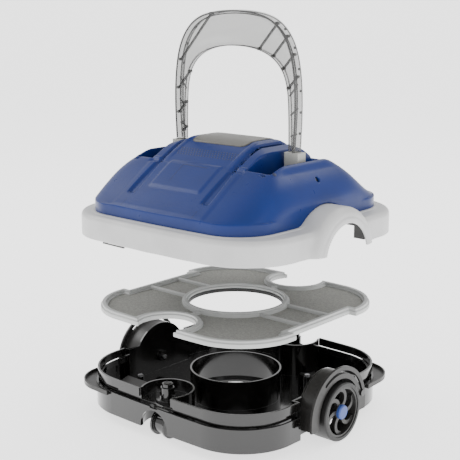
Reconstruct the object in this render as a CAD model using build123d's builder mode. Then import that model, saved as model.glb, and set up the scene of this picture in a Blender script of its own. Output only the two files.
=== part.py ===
from build123d import *
import math
import os

# Cordless pool cleaner, shown with its filter and its cover lifted off the tray.
# Frame: origin on the pool floor under the middle of the well, +X along the wheel axles,
# -Y towards the front caster, +Z up.  Millimetres.  Heights (z) are given for the
# assembled cleaner; the filter and the cover are then raised by the two lifts below.

os.makedirs("parts", exist_ok=True)

FILTER_LIFT = 92.0
COVER_LIFT = 202.0

# tray
TRAY_HALF = 160.0
TRAY_BOTTOM = 14.0
TRAY_FLOOR = 17.0
LEDGE_Z = 45.0
STEP_Z = 53.0
LIP_TOP = 64.0
BOW = 5.0
TRAY_CORNER = 80.0
WELL_OUTER = 63.0
WELL_INNER = 60.5
WELL_HOLE = 52.0
WELL_TOP = 56.6
NOTCH_X = 149.0
NOTCH_HALF = 60.0
POD_Y = 134.0
POD_R = 35.0
DECK_Z = 46.0

# wheels and fenders
WHEEL_R = 38.5
WHEEL_IN = 152.0
WHEEL_OUT = 181.0
RIM_R = 33.0
AXLE_R = 3.0
RUNNING_GAP = 0.06
TUNNEL_R = 50.0
FENDER_X = 172.0
FENDER_T = 3.0
FENDER_R = 58.5
FENDER_HOLE = 42.5

# casters
CASTER_R = 17.0
CASTER_TRAIL = 4.0
STEM_R = 4.5

# inlet flaps
FLAP_X = -88.0
FLAP_HALF = 40.0
FLAP_HINGE_Y = -118.0
FLAP_HINGE_Z = 24.0
FLAP_LENGTH = 36.0
FLAP_TILT = 15.0

# filter
FRAME_HALF = 154.7
FRAME_BOTTOM = 53.3
FRAME_TOP = 62.0
RING_TOP = 64.0
RING_OUTER = 70.8
RING_INNER = 64.2
RAIL = 7.0
RIB = 5.0

# cover
SKIRT_X = 172.0
SKIRT_Y = 168.0
SKIRT_BOTTOM = 48.0
SKIRT_TOP = 79.0
SKIRT_BOW = 8.0
SKIRT_CORNER = 66.0
WALL = 3.0
HUMP_R = 63.5
HUMP_OUT = 182.0
ARCH_R = 44.0
DOME_X = 146.0
DOME_Y = 154.0
DOME_CORNER = 50.0
DOME_BOW = 5.0
BAND_TOP = 95.0
DOME_RISE = 83.0
HOUSING_R = 57.0
CHASSIS_Z = 66.0
CHASSIS_T = 3.0

# handle
PIVOT_X = 97.5
PIVOT_Z = 131.0
SOCKET_TOP = 162.0
HANDLE_DEPTH = 16.0
HANDLE_TOP = 336.7


def up(z):
    """Horizontal plane at height z, in the tray's own place."""
    return Plane.XY.offset(z)


def filter_level(z):
    """Horizontal plane of the lifted filter."""
    return Plane.XY.offset(z + FILTER_LIFT)


def cover_level(z):
    """Horizontal plane of the lifted cover."""
    return Plane.XY.offset(z + COVER_LIFT)


def outline(half_x, half_y, bow, corner):
    """A square with bowed sides and round corners, as a sketch centred on the origin."""
    edge_x = half_x - bow
    edge_y = half_y - bow
    with BuildSketch() as shape:
        with BuildLine():
            ThreePointArc((-edge_x, -edge_y), (0, -half_y), (edge_x, -edge_y))
            ThreePointArc((edge_x, -edge_y), (half_x, 0), (edge_x, edge_y))
            ThreePointArc((edge_x, edge_y), (0, half_y), (-edge_x, edge_y))
            ThreePointArc((-edge_x, edge_y), (-half_x, 0), (-edge_x, -edge_y))
        make_face()
        fillet(shape.vertices(), corner)
    return shape.sketch


def save(builder, name):
    """Label a finished piece and write its file."""
    builder.part.label = name
    export_step(builder.part, f"parts/{name}.step")


def turned(builder):
    """The same piece on the opposite side, half a turn about the vertical axis."""
    return builder.part.rotate(Axis.Z, 180)


def save_solid(solid, name):
    """Label a finished solid and write its file."""
    solid.label = name
    export_step(solid, f"parts/{name}.step")


# ------------------------------------------------------------------ tray shell
TRAY_STAGES = (
    (TRAY_BOTTOM, LEDGE_Z, TRAY_HALF, TRAY_HALF - 2.7),
    (LEDGE_Z, STEP_Z, TRAY_HALF - 6, TRAY_HALF - 8.5),
    (STEP_Z, LIP_TOP, TRAY_HALF - 2, TRAY_HALF - 4.5),
)
INNER_NOTCH_X = NOTCH_X - 3
INNER_NOTCH_HALF = NOTCH_HALF + 3

with BuildPart() as tray_shell:
    for low, high, outer, inner in TRAY_STAGES:
        with BuildSketch(up(low)):
            add(outline(outer, outer, BOW, TRAY_CORNER - (TRAY_HALF - outer)))
        extrude(amount=high - low)
    for side in (-1, 1):
        with Locations((side * (NOTCH_X + 20), 0, 40)):
            Box(40, 2 * NOTCH_HALF, 60, mode=Mode.SUBTRACT)
    for low, high, outer, inner in TRAY_STAGES:
        floor = max(low, TRAY_FLOOR)
        with BuildSketch(up(floor)) as room:
            add(outline(inner, inner, BOW, TRAY_CORNER - (TRAY_HALF - inner)))
            for side in (-1, 1):
                with Locations((side * (INNER_NOTCH_X + 20), 0)):
                    Rectangle(40, 2 * INNER_NOTCH_HALF, mode=Mode.SUBTRACT)
                with Locations((0, side * POD_Y)):
                    Circle(POD_R, mode=Mode.SUBTRACT)
            Circle(WELL_OUTER, mode=Mode.SUBTRACT)
        extrude(amount=high - floor + (1 if high == LIP_TOP else 0), mode=Mode.SUBTRACT)
    # round walls that close the inner ends of the wheel tunnels
    for side in (-1, 1):
        wall_plane = Plane.YZ.offset(side * (NOTCH_X - 1.5))
        with BuildSketch(wall_plane):
            with Locations((0, WHEEL_R)):
                Circle(TUNNEL_R)
            with Locations((0, WHEEL_R - 50)):
                Rectangle(200, 100, mode=Mode.SUBTRACT)
        extrude(amount=1.5, both=True)
        boss_plane = Plane.YZ.offset(side * (NOTCH_X - 9))
        with BuildSketch(boss_plane):
            with Locations((0, WHEEL_R)):
                Circle(8)
        extrude(amount=side * 9)
    # the well
    with BuildSketch(up(WELL_TOP)):
        Circle(WELL_OUTER + 0.2)
    extrude(amount=20, mode=Mode.SUBTRACT)
    with BuildSketch(up(TRAY_FLOOR)):
        Circle(WELL_INNER)
    extrude(amount=60, mode=Mode.SUBTRACT)
    with BuildSketch(up(TRAY_BOTTOM)):
        Circle(WELL_HOLE)
    extrude(amount=10, mode=Mode.SUBTRACT)
    # caster pods: open pocket above the deck, wheel space below it
    for side in (-1, 1):
        with BuildSketch(up(DECK_Z + 2.5)):
            with Locations((0, side * POD_Y)):
                Circle(POD_R - 2.5)
            with Locations((0, side * (POD_Y + 20))):
                Rectangle(56, 40)
        extrude(amount=30, mode=Mode.SUBTRACT)
        with BuildSketch(up(TRAY_BOTTOM)):
            with Locations((0, side * POD_Y)):
                Circle(POD_R - 3)
            with Locations((0, side * (TRAY_HALF + 17))):
                Rectangle(80, 40, mode=Mode.SUBTRACT)
        extrude(amount=DECK_Z - TRAY_BOTTOM, mode=Mode.SUBTRACT)
        with Locations((0, side * TRAY_HALF, TRAY_FLOOR)):
            Cylinder(24, 16, rotation=(90, 0, 0), mode=Mode.SUBTRACT)
        with Locations((0, side * POD_Y, DECK_Z)):
            Cylinder(9, 12, mode=Mode.SUBTRACT)
        with Locations((0, side * TRAY_HALF, DECK_Z + 0.5)):
            Box(13, 12, 6, mode=Mode.SUBTRACT)
        # inlet opening in the floor
        with Locations((side * -FLAP_X, side * (-FLAP_HINGE_Y - FLAP_LENGTH / 2), TRAY_FLOOR)):
            Box(2 * FLAP_HALF - 12, FLAP_LENGTH - 12, 12, mode=Mode.SUBTRACT)
        # bore for the wheel axle
        with Locations((side * NOTCH_X, 0, WHEEL_R)):
            Cylinder(AXLE_R, 30, rotation=(0, 90, 0), mode=Mode.SUBTRACT)
save(tray_shell, "tray_shell")

# ------------------------------------------------------------------ corner ears
EAR_CORNER = 48.0
with BuildPart() as ear:
    with BuildSketch(up(LEDGE_Z - 4.5)):
        add(outline(TRAY_HALF + 4, TRAY_HALF + 4, BOW, EAR_CORNER))
        add(outline(TRAY_HALF, TRAY_HALF, BOW, TRAY_CORNER), mode=Mode.SUBTRACT)
        with Locations((-TRAY_HALF, -TRAY_HALF)):
            Rectangle(150, 150, mode=Mode.INTERSECT)
    extrude(amount=2.5)
    with BuildSketch(up(LEDGE_Z - 4.5)):
        add(outline(TRAY_HALF + 4, TRAY_HALF + 4, BOW, EAR_CORNER))
        add(outline(TRAY_HALF + 2, TRAY_HALF + 2, BOW, EAR_CORNER - 2), mode=Mode.SUBTRACT)
        with Locations((-TRAY_HALF, -TRAY_HALF)):
            Rectangle(150, 150, mode=Mode.INTERSECT)
    extrude(amount=6)

with BuildPart() as corner_ears:
    add(ear.part)
    add(turned(ear))
save(corner_ears, "corner_ears")

# ------------------------------------------------------------------ fenders
SLOT_R = 51.0
SLOT_W = 4.0
KNOB_ANGLE = 12.0


def ring_sector(radius, width, start, end):
    """A curved slot about the wheel axis, seen along the axle."""
    with BuildSketch() as shape:
        with BuildLine() as path:
            CenterArc((0, WHEEL_R), radius, start, end - start)
        SlotArc(path.wire(), width)
    return shape.sketch


with BuildPart() as fender:
    with BuildSketch(Plane.YZ.offset(NOTCH_X)) as tunnel:
        with Locations((0, WHEEL_R)):
            Circle(TUNNEL_R)
            Circle(TUNNEL_R - 3, mode=Mode.SUBTRACT)
        with Locations((0, WHEEL_R - 50)):
            Rectangle(200, 100, mode=Mode.SUBTRACT)
        for hand in (-1, 1):
            with Locations((hand * (TUNNEL_R - 1.5), WHEEL_R - 8)):
                Rectangle(3, 16)
    extrude(amount=FENDER_X - NOTCH_X)
    with BuildSketch(Plane.YZ.offset(FENDER_X)) as face:
        with Locations((0, WHEEL_R)):
            Circle(FENDER_R)
        with Locations((0, WHEEL_R - 6)):
            Rectangle(2 * FENDER_R, 14)
        with Locations((0, WHEEL_R - 63)):
            Rectangle(200, 100, mode=Mode.SUBTRACT)
        with Locations((0, WHEEL_R)):
            Circle(FENDER_HOLE, mode=Mode.SUBTRACT)
        with Locations((0, WHEEL_R - 40)):
            Rectangle(2 * FENDER_HOLE, 80, mode=Mode.SUBTRACT)
        add(ring_sector(SLOT_R, SLOT_W, KNOB_ANGLE, 125), mode=Mode.SUBTRACT)
    extrude(amount=FENDER_T)

with BuildPart() as knob:
    knob_y = SLOT_R * math.cos(math.radians(KNOB_ANGLE))
    knob_z = WHEEL_R + SLOT_R * math.sin(math.radians(KNOB_ANGLE))
    with BuildSketch(Plane.YZ.offset(FENDER_X + FENDER_T)):
        with Locations((knob_y, knob_z)):
            Circle(4.5)
    extrude(amount=2.5)
    with BuildSketch(Plane.YZ.offset(FENDER_X)):
        with Locations((knob_y, knob_z)):
            Circle(1.9)
    extrude(amount=FENDER_T + 0.5)

# ------------------------------------------------------------------ wheels
HUB_R = 10.0
SPOKES = 6
with BuildPart() as axle:
    with BuildSketch(Plane.YZ.offset(NOTCH_X - 12)):
        with Locations((0, WHEEL_R)):
            Circle(AXLE_R)
    extrude(amount=WHEEL_OUT - NOTCH_X + 6)

with BuildPart() as tyre:
    with BuildSketch(Plane.YZ.offset(WHEEL_IN)):
        with Locations((0, WHEEL_R)):
            Circle(WHEEL_R)
            Circle(RIM_R, mode=Mode.SUBTRACT)
    extrude(amount=WHEEL_OUT - WHEEL_IN)
    fillet(tyre.edges().filter_by(GeomType.CIRCLE).sort_by(SortBy.RADIUS)[-2:], 2)

with BuildPart() as rim:
    with BuildSketch(Plane.YZ.offset(WHEEL_IN + 1)):
        with Locations((0, WHEEL_R)):
            Circle(RIM_R)
            Circle(RIM_R - 3, mode=Mode.SUBTRACT)
    extrude(amount=WHEEL_OUT - WHEEL_IN - 2)
    with BuildSketch(Plane.YZ.offset(WHEEL_IN + 4)):
        with Locations((0, WHEEL_R)):
            Circle(HUB_R)
    extrude(amount=WHEEL_OUT - WHEEL_IN - 8)
    with BuildSketch(Plane.YZ.offset(WHEEL_OUT - 10)) as web:
        for turn in range(SPOKES):
            spoke_start = math.radians(turn * 360 / SPOKES)
            spoke_end = spoke_start + math.radians(28)
            spoke_mid = spoke_start + math.radians(2)
            with BuildLine() as bend:
                ThreePointArc(
                    (8 * math.cos(spoke_start), WHEEL_R + 8 * math.sin(spoke_start)),
                    (21 * math.cos(spoke_mid), WHEEL_R + 21 * math.sin(spoke_mid)),
                    (29 * math.cos(spoke_end), WHEEL_R + 29 * math.sin(spoke_end)),
                )
            SlotArc(bend.wire(), 5)
    extrude(amount=6)
    with Locations((WHEEL_IN, 0, WHEEL_R)):
        Cylinder(AXLE_R + RUNNING_GAP, 80, rotation=(0, 90, 0), mode=Mode.SUBTRACT)

with BuildPart() as hub_cap:
    with BuildSketch(Plane.YZ.offset(WHEEL_OUT - 4)):
        with Locations((0, WHEEL_R)):
            Circle(HUB_R - 0.5)
    extrude(amount=5)
    fillet(hub_cap.faces().sort_by(Axis.X)[-1].edges(), 2.5)
    with BuildSketch(Plane.YZ.offset(WHEEL_OUT - 4)):
        with Locations((0, WHEEL_R)):
            Circle(AXLE_R + 1)
    extrude(amount=2.5, mode=Mode.SUBTRACT)

WHEEL_SETS = (
    (fender, "fender"),
    (axle, "axle"),
    (tyre, "tyre"),
    (rim, "wheel_rim"),
    (hub_cap, "hub_cap"),
)
for piece, name in WHEEL_SETS:
    save(piece, f"{name}_right")
    save_solid(mirror(piece.part, about=Plane.YZ), f"{name}_left")

with BuildPart() as fender_knobs:
    add(knob.part)
    add(mirror(knob.part, about=Plane.YZ))
save(fender_knobs, "fender_knobs")

# ------------------------------------------------------------------ casters
caster_y = -POD_Y - CASTER_TRAIL
POST_LOW = DECK_Z - 5.5
POST_TOP = 66.0

with BuildPart() as caster_post:
    with BuildSketch(up(POST_LOW)):
        with Locations((0, -POD_Y)):
            Circle(8.9)
    extrude(amount=POST_TOP - POST_LOW)
    with BuildSketch(up(DECK_Z + 2.5)):
        with Locations((0, -POD_Y)):
            Circle(15)
    extrude(amount=2.5)
    with BuildSketch(up(DECK_Z + 5)):
        for fin_angle in (0, 90, 180, 270):
            with Locations((0, -POD_Y)):
                Rectangle(26, 2.2, rotation=fin_angle)
    extrude(amount=6)
    with BuildSketch(up(POST_LOW - 1)):
        with Locations((0, -POD_Y)):
            Circle(STEM_R + RUNNING_GAP)
    extrude(amount=60, mode=Mode.SUBTRACT)

with BuildPart() as caster_fork:
    with BuildSketch(up(POST_LOW - 0.3)):
        with Locations((0, -POD_Y)):
            Circle(STEM_R)
    extrude(amount=POST_TOP + 6 - POST_LOW)
    with BuildSketch(up(POST_LOW - 3.8)):
        with Locations((0, -POD_Y - CASTER_TRAIL / 2)):
            RectangleRounded(32, 20, 5)
    extrude(amount=3.5)
    for hand in (-1, 1):
        with BuildSketch(Plane.YZ.offset(hand * 14.5)):
            with Locations((caster_y, CASTER_R + 8)):
                Rectangle(10, 23.4)
            with Locations((caster_y, CASTER_R)):
                Circle(5)
        extrude(amount=1.5, both=True)
    with Locations((0, caster_y, CASTER_R)):
        Cylinder(2, 40, rotation=(0, 90, 0), mode=Mode.SUBTRACT)

with BuildPart() as stem_cap:
    with BuildSketch(up(POST_TOP + 0.3)):
        with Locations((0, -POD_Y)):
            Circle(7)
            Circle(STEM_R, mode=Mode.SUBTRACT)
    extrude(amount=4.5)
    with BuildSketch(up(POST_TOP + 4.8)):
        with Locations((5.6, -POD_Y)):
            Circle(1.1)
    extrude(amount=2.5)

with BuildPart() as caster_axle:
    with Locations((0, caster_y, CASTER_R)):
        Cylinder(2, 33, rotation=(0, 90, 0))

with BuildPart() as caster_wheel:
    with BuildSketch(Plane.YZ.offset(-12)):
        with Locations((caster_y, CASTER_R)):
            Circle(13.5)
    extrude(amount=24)
    for start in (-12, 9):
        with BuildSketch(Plane.YZ.offset(start)):
            with Locations((caster_y, CASTER_R)):
                Circle(CASTER_R)
        extrude(amount=3)
    for start in (-12, 12):
        with BuildSketch(Plane.YZ.offset(start)):
            with Locations((caster_y, CASTER_R)):
                Circle(12)
                Circle(5, mode=Mode.SUBTRACT)
        extrude(amount=-5 if start > 0 else 5, mode=Mode.SUBTRACT)
    with Locations((0, caster_y, CASTER_R)):
        Cylinder(2 + RUNNING_GAP, 40, rotation=(0, 90, 0), mode=Mode.SUBTRACT)

# ------------------------------------------------------------------ inlet flaps and their seats
flap_plane = Plane.YZ.offset(FLAP_X)
tilt = math.radians(FLAP_TILT)
tip_y = FLAP_HINGE_Y + FLAP_LENGTH * math.cos(tilt)
tip_z = FLAP_HINGE_Z + FLAP_LENGTH * math.sin(tilt)
FLAP_T = 2.0
PIN_R = 1.5

with BuildPart() as inlet_flap:
    with BuildSketch(flap_plane):
        with BuildLine():
            Line((FLAP_HINGE_Y, FLAP_HINGE_Z), (tip_y, tip_z))
            Line((tip_y, tip_z), (tip_y - FLAP_T * math.sin(tilt), tip_z + FLAP_T * math.cos(tilt)))
            Line(
                (tip_y - FLAP_T * math.sin(tilt), tip_z + FLAP_T * math.cos(tilt)),
                (FLAP_HINGE_Y - FLAP_T * math.sin(tilt), FLAP_HINGE_Z + FLAP_T * math.cos(tilt)),
            )
            Line(
                (FLAP_HINGE_Y - FLAP_T * math.sin(tilt), FLAP_HINGE_Z + FLAP_T * math.cos(tilt)),
                (FLAP_HINGE_Y, FLAP_HINGE_Z),
            )
        make_face()
    extrude(amount=FLAP_HALF, both=True)
    with BuildSketch(flap_plane):
        with Locations((FLAP_HINGE_Y, FLAP_HINGE_Z)):
            Circle(PIN_R)
    extrude(amount=FLAP_HALF + 3, both=True)

with BuildPart() as inlet_seat:
    with BuildSketch(flap_plane):
        with BuildLine():
            Polyline(
                (FLAP_HINGE_Y + 3, TRAY_FLOOR),
                (tip_y + 2, TRAY_FLOOR),
                (tip_y + 2, tip_z - 0.3 + 2 * math.tan(tilt)),
                (FLAP_HINGE_Y + 3, FLAP_HINGE_Z - 0.4 + 3 * math.tan(tilt)),
                close=True,
            )
        make_face()
    extrude(amount=FLAP_HALF + 1, both=True)
    with BuildSketch(up(TRAY_FLOOR)):
        with Locations((FLAP_X, (FLAP_HINGE_Y + 3 + tip_y + 2) / 2)):
            Rectangle(2 * FLAP_HALF - 6, tip_y - FLAP_HINGE_Y - 8)
    extrude(amount=30, mode=Mode.SUBTRACT)
    for hand in (-1, 1):
        with BuildSketch(Plane.YZ.offset(FLAP_X + hand * (FLAP_HALF + 1.8))):
            with Locations((FLAP_HINGE_Y + 2, (TRAY_FLOOR + FLAP_HINGE_Z + 3) / 2)):
                Rectangle(10, FLAP_HINGE_Z + 3 - TRAY_FLOOR)
            with Locations((FLAP_HINGE_Y, FLAP_HINGE_Z)):
                Circle(PIN_R + RUNNING_GAP, mode=Mode.SUBTRACT)
        extrude(amount=1.2, both=True)
    with BuildSketch(up(TRAY_FLOOR)):
        with Locations((FLAP_X - 22, tip_y + 6.5), (FLAP_X + 22, tip_y + 6.5)):
            Circle(5)
    extrude(amount=20)
    with BuildSketch(up(TRAY_FLOOR + 12)):
        with Locations((FLAP_X - 22, tip_y + 6.5), (FLAP_X + 22, tip_y + 6.5)):
            Circle(1.6)
    extrude(amount=10, mode=Mode.SUBTRACT)

with BuildPart() as front_screws:
    with BuildSketch(up(TRAY_FLOOR + 12)):
        with Locations((FLAP_X - 22, tip_y + 6.5), (FLAP_X + 22, tip_y + 6.5)):
            Circle(1.6)
    extrude(amount=8)
    with BuildSketch(up(TRAY_FLOOR + 20)):
        with Locations((FLAP_X - 22, tip_y + 6.5), (FLAP_X + 22, tip_y + 6.5)):
            Circle(3.6)
    extrude(amount=2.2)

END_SETS = (
    (caster_post, "caster_post"),
    (caster_fork, "caster_fork"),
    (stem_cap, "stem_cap"),
    (caster_axle, "caster_axle"),
    (caster_wheel, "caster_wheel"),
    (inlet_flap, "inlet_flap"),
    (inlet_seat, "inlet_seat"),
)
for piece, name in END_SETS:
    save(piece, f"{name}_front")
    save_solid(turned(piece), f"{name}_rear")

with BuildPart() as seat_screws:
    add(front_screws.part)
    add(turned(front_screws))
save(seat_screws, "seat_screws")

# ------------------------------------------------------------------ filter
FILTER_NOTCH_X = 142.0
FILTER_NOTCH_HALF = 64.0
MESH_Z = 56.0
MESH_T = 1.2



def filter_plan(inset):
    """Outline of the filter, drawn in by inset from its outer edge, the notches and the pods."""
    half = FRAME_HALF - inset
    with BuildSketch() as plan:
        add(outline(half, half, BOW, TRAY_CORNER - TRAY_HALF + half))
        for side in (-1, 1):
            with Locations((side * (FILTER_NOTCH_X - inset + 20), 0)):
                Rectangle(40, 2 * (FILTER_NOTCH_HALF + inset), mode=Mode.SUBTRACT)
            with Locations((0, side * POD_Y)):
                Circle(POD_R + 2 + inset, mode=Mode.SUBTRACT)
    return plan.sketch


def window_plan(margin):
    """The six windows between the rails, the ribs and the ring, each drawn in by margin."""
    with BuildSketch() as plan:
        add(filter_plan(RAIL + margin))
        Circle(RING_OUTER + 1.5 + margin, mode=Mode.SUBTRACT)
        for side in (-1, 1):
            with Locations((side * 110, -28), (side * 110, 28)):
                Rectangle(100, RIB + 2 * margin, mode=Mode.SUBTRACT)
            with Locations((0, side * 85)):
                Rectangle(RIB + 2 * margin, 40, mode=Mode.SUBTRACT)
    return plan.sketch


frame_plan = filter_plan(0)
windows = window_plan(0)
openings = window_plan(3)

# each layer: from, to, what is cut out of the plan, radius of the middle hole
SEAL_TOP = FRAME_BOTTOM + 4.8
RING_STEP = RING_TOP - 2.5
FRAME_LAYERS = (
    (FRAME_BOTTOM, MESH_Z, openings, RING_INNER + 2),
    (MESH_Z, SEAL_TOP, windows, RING_INNER + 2),
    (SEAL_TOP, RING_STEP, windows, RING_INNER),
    (RING_STEP, FRAME_TOP, windows, RING_INNER + 3),
)
with BuildPart() as filter_frame:
    for low, high, holes, bore in FRAME_LAYERS:
        with BuildSketch(filter_level(low)):
            add(frame_plan)
            add(holes, mode=Mode.SUBTRACT)
            Circle(bore, mode=Mode.SUBTRACT)
        extrude(amount=high - low)
    with BuildSketch(filter_level(FRAME_TOP)):
        Circle(RING_OUTER)
        Circle(RING_INNER + 3, mode=Mode.SUBTRACT)
    extrude(amount=RING_TOP - FRAME_TOP)
save(filter_frame, "filter_frame")

with BuildPart() as ring_seal:
    with BuildSketch(filter_level(FRAME_BOTTOM + 0.2)):
        Circle(RING_INNER + 1.95)
        Circle(WELL_OUTER + 0.4, mode=Mode.SUBTRACT)
    extrude(amount=4.5)
save(ring_seal, "ring_seal")


def place_name(face):
    """Name of a mesh panel from where its middle lies."""
    middle = face.center()
    if abs(middle.Y) < 20:
        return "right" if middle.X > 0 else "left"
    return ("front" if middle.Y < 0 else "rear") + ("_right" if middle.X > 0 else "_left")


for window in windows.faces():
    with BuildPart() as mesh_panel:
        with BuildSketch(filter_level(MESH_Z)):
            add(window)
        extrude(amount=MESH_T)
    save(mesh_panel, f"filter_mesh_{place_name(window)}")

# ------------------------------------------------------------------ skirt
wheel_height = WHEEL_R + COVER_LIFT


def hump(radius, reach, rounding):
    """A round-edged drum about the right wheel's axle, from inside the skirt out to reach."""
    with BuildPart() as drum:
        with BuildSketch(Plane.YZ.offset(DOME_X - 6)):
            with Locations((0, wheel_height)):
                Circle(radius)
        extrude(amount=reach - DOME_X + 6)
        fillet(drum.faces().sort_by(Axis.X)[-1].edges(), rounding)
    return drum.part


outer_hump = hump(HUMP_R, HUMP_OUT, 11)
inner_hump = hump(HUMP_R - WALL, HUMP_OUT - WALL, 8.5)

with BuildPart() as skirt:
    with BuildSketch(cover_level(SKIRT_BOTTOM)):
        add(outline(SKIRT_X, SKIRT_Y, SKIRT_BOW, SKIRT_CORNER))
    extrude(amount=SKIRT_TOP - SKIRT_BOTTOM)
    fillet(skirt.faces().sort_by(Axis.Z)[-1].edges(), 5)
    add(outer_hump)
    add(mirror(outer_hump, about=Plane.YZ))
    with BuildSketch(cover_level(SKIRT_BOTTOM)):
        Rectangle(500, 500)
    extrude(amount=-100, mode=Mode.SUBTRACT)
    with BuildSketch(cover_level(SKIRT_BOTTOM)):
        add(outline(SKIRT_X - WALL, SKIRT_Y - WALL, SKIRT_BOW, SKIRT_CORNER - WALL))
    extrude(amount=SKIRT_TOP - WALL - SKIRT_BOTTOM, mode=Mode.SUBTRACT)
    add(inner_hump, mode=Mode.SUBTRACT)
    add(mirror(inner_hump, about=Plane.YZ), mode=Mode.SUBTRACT)
    with BuildSketch(cover_level(SKIRT_BOTTOM)):
        add(outline(DOME_X - WALL, DOME_Y - WALL, DOME_BOW, DOME_CORNER - WALL))
    extrude(amount=100, mode=Mode.SUBTRACT)
    with Locations((0, 0, wheel_height)):
        Cylinder(ARCH_R, 500, rotation=(0, 90, 0), mode=Mode.SUBTRACT)
save(skirt, "skirt")

# ------------------------------------------------------------------ blue dome
DOME_LEVELS = (0.0, 0.12, 0.3, 0.5, 0.68, 0.82, 0.92, 0.98)
SIDE_FALL = (1.8, 0.426)
FRONT_FALL = (1.5, 1.13)
REAR_FALL = (1.5, 1.563)


def covered(level, fall):
    """Share of the way from the middle to the rim that the dome still covers at a level."""
    power, shape = fall
    return (1 - level ** (1 / shape)) ** (1 / power)


def rear_height(y):
    """Height of the dome's rear slope on the centre line."""
    power, shape = REAR_FALL
    return BAND_TOP + DOME_RISE * (1 - (y / DOME_Y) ** power) ** shape


def dome(inset, rise):
    """The solid dome with its upright band, drawn in by inset."""
    full_x = DOME_X - inset
    full_y = DOME_Y - inset
    with BuildPart() as body:
        with BuildSketch(cover_level(SKIRT_TOP)):
            add(outline(full_x, full_y, DOME_BOW, DOME_CORNER - inset))
        extrude(amount=BAND_TOP - SKIRT_TOP)
        for level in DOME_LEVELS:
            front = covered(level, FRONT_FALL)
            rear = covered(level, REAR_FALL)
            share = (front + rear) / 2
            corner = (DOME_CORNER - inset) * share * (1 + 0.9 * level)
            with BuildSketch(cover_level(BAND_TOP + rise * level)):
                with Locations((0, full_y * (rear - front) / 2)):
                    add(outline(full_x * covered(level, SIDE_FALL), full_y * share, DOME_BOW * share, corner))
        loft()
    return body.part


def recess(side, grow):
    """Space round one handle foot: a sloping front, a deep slot and a shelf behind."""
    lift = COVER_LIFT - grow
    with BuildPart() as space:
        with BuildSketch(Plane.YZ.offset(side * PIVOT_X)):
            with BuildLine():
                Polyline(
                    (-80 - grow, 147.5 + lift),
                    (-38 - grow, 134 + lift),
                    (-38 - grow, 121 + lift),
                    (14 + grow, 121 + lift),
                    (14 + grow, 138 + lift),
                    (62 + grow, 142 + lift),
                    (62 + grow, 220 + lift),
                    (-80 - grow, 220 + lift),
                    close=True,
                )
            make_face()
        extrude(amount=17 + grow, both=True)
    return space.part


solid_dome = dome(0, DOME_RISE)

with BuildPart() as cavity:
    add(dome(WALL, DOME_RISE - WALL))
    for side in (-1, 1):
        add(recess(side, WALL), mode=Mode.SUBTRACT)

REAR_TILT = 34.0
rear_y = 88.0
rear_z = COVER_LIFT + rear_height(rear_y)
rear_normal = (0, math.sin(math.radians(REAR_TILT)), math.cos(math.radians(REAR_TILT)))
button_plane = Plane(origin=(-24, rear_y, rear_z), x_dir=(1, 0, 0), z_dir=rear_normal)
charge_plane = Plane(origin=(24, rear_y, rear_z), x_dir=(1, 0, 0), z_dir=rear_normal)
BUTTON_R = 7.0
SOCKET_R = 8.0
CAP_HINGE = 11.0
VENT_COUNT = 15
VENT_PITCH = 6.0

with BuildPart() as top_shell:
    add(solid_dome)
    add(cavity.part, mode=Mode.SUBTRACT)
    for side in (-1, 1):
        add(recess(side, 0), mode=Mode.SUBTRACT)
        with Locations((side * PIVOT_X, 0, PIVOT_Z + COVER_LIFT)):
            Cylinder(AXLE_R, 38.5, rotation=(0, 90, 0), mode=Mode.SUBTRACT)
        with Locations((side * (DOME_X + 12), 0, wheel_height)):
            Cylinder(HUMP_R + 0.5, 40, rotation=(0, 90, 0), mode=Mode.SUBTRACT)
    for row_y in (-51, -56):
        with BuildSketch(cover_level(BAND_TOP + 40)):
            with Locations((0, row_y)):
                with GridLocations(VENT_PITCH, 1, VENT_COUNT, 1):
                    Circle(1.3)
        extrude(amount=60, mode=Mode.SUBTRACT)
    with BuildSketch(button_plane.offset(-15)):
        Circle(BUTTON_R + 0.3)
    extrude(amount=30, mode=Mode.SUBTRACT)
    with BuildSketch(charge_plane.offset(-15)):
        Circle(SOCKET_R)
    extrude(amount=30, mode=Mode.SUBTRACT)
save(top_shell, "top_shell")

with BuildPart() as label_plate:
    add(dome(0, DOME_RISE + 1.3))
    with BuildSketch(cover_level(BAND_TOP + 30)):
        with Locations((0, -1)):
            RectangleRounded(92, 70, 7)
    extrude(amount=80, mode=Mode.INTERSECT)
    add(solid_dome, mode=Mode.SUBTRACT)
save(label_plate, "label_plate")

with BuildPart() as power_button:
    with BuildSketch(button_plane.offset(-5)):
        Circle(BUTTON_R)
    extrude(amount=7.5)
save(power_button, "power_button")

with BuildPart() as charge_socket:
    with BuildSketch(charge_plane.offset(-12)):
        Circle(SOCKET_R)
    extrude(amount=13)
    with BuildSketch(charge_plane.offset(-8)):
        Circle(4)
    extrude(amount=20, mode=Mode.SUBTRACT)
    with BuildSketch(charge_plane.offset(-9)):
        Circle(1.2)
    extrude(amount=7)
save(charge_socket, "charge_socket")

with BuildPart() as charge_cap:
    with BuildSketch(charge_plane.offset(1.3)):
        Circle(9)
        with Locations((0, 9)):
            Rectangle(10, 4)
    extrude(amount=2.4)
    with Locations(charge_plane * Location((0, CAP_HINGE, 2.5))):
        Cylinder(1.4, 10, rotation=(0, 90, 0))
save(charge_cap, "charge_cap")

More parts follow.
